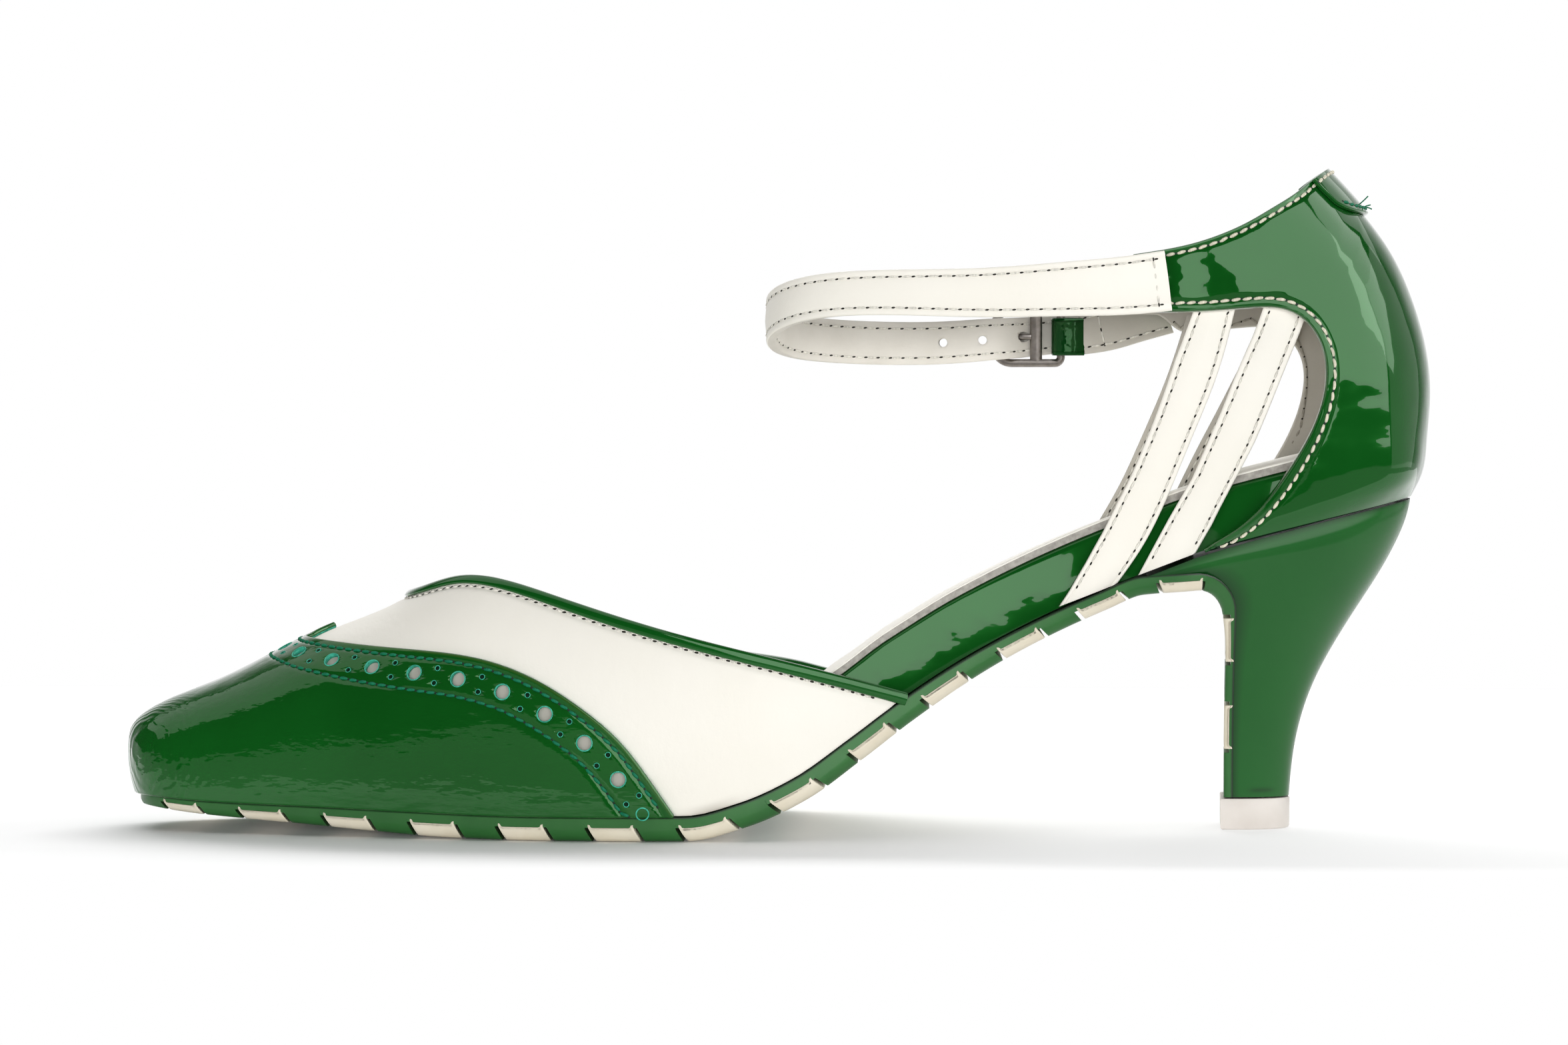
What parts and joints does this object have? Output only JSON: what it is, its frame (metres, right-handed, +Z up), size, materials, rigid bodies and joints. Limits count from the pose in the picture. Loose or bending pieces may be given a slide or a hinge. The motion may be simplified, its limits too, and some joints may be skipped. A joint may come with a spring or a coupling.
{
  "type": "kitten heel pump",
  "caption": "Two-tone ankle-strap pump with a winged toe cap, open waist, cut-out counter with side straps, barred sole and a curved mid-height heel.",
  "frame": {"origin": "on the floor, under the middle of the shoe's bounding box", "axes": "toe along -X, heel along +X, inner side of the foot along -Y, +Z up"},
  "size_m": [0.25, 0.0781, 0.1258],
  "materials": {
    "green_patent": "patent gloss",
    "green_lacquer": "gloss lacquer",
    "green_rubber": "satin",
    "cream_rubber": "satin",
    "white_leather": "smooth satin",
    "insole_leather": "matte",
    "gunmetal": "dark satin"
  },
  "bodies": {
    "root": {"outsole": "green_rubber", "heel": "green_lacquer", "top_lift": "cream_rubber", "footbed": "green_patent", "insole": "insole_leather", "vamp": "white_leather", "toe_cap": "green_patent", "vamp_binding": "green_patent", "counter": "green_patent", "back_tab": "green_patent", "side_strap_medial_front": "white_leather", "side_strap_medial_rear": "white_leather", "side_strap_lateral_front": "white_leather", "side_strap_lateral_rear": "white_leather", "ankle_strap": "white_leather", "buckle_strap": "white_leather", "buckle_keeper": "green_patent", "buckle_frame": "gunmetal", "buckle_prong": "gunmetal", "tread_bar_01": "cream_rubber", "tread_bar_02": "cream_rubber", "tread_bar_03": "cream_rubber", "tread_bar_04": "cream_rubber", "tread_bar_05": "cream_rubber", "tread_bar_06": "cream_rubber", "tread_bar_07": "cream_rubber", "tread_bar_08": "cream_rubber", "tread_bar_09": "cream_rubber", "tread_bar_10": "cream_rubber", "tread_bar_11": "cream_rubber", "tread_bar_12": "cream_rubber", "tread_bar_13": "cream_rubber", "tread_bar_14": "cream_rubber", "tread_bar_15": "cream_rubber"}
  },
  "joints": []
}
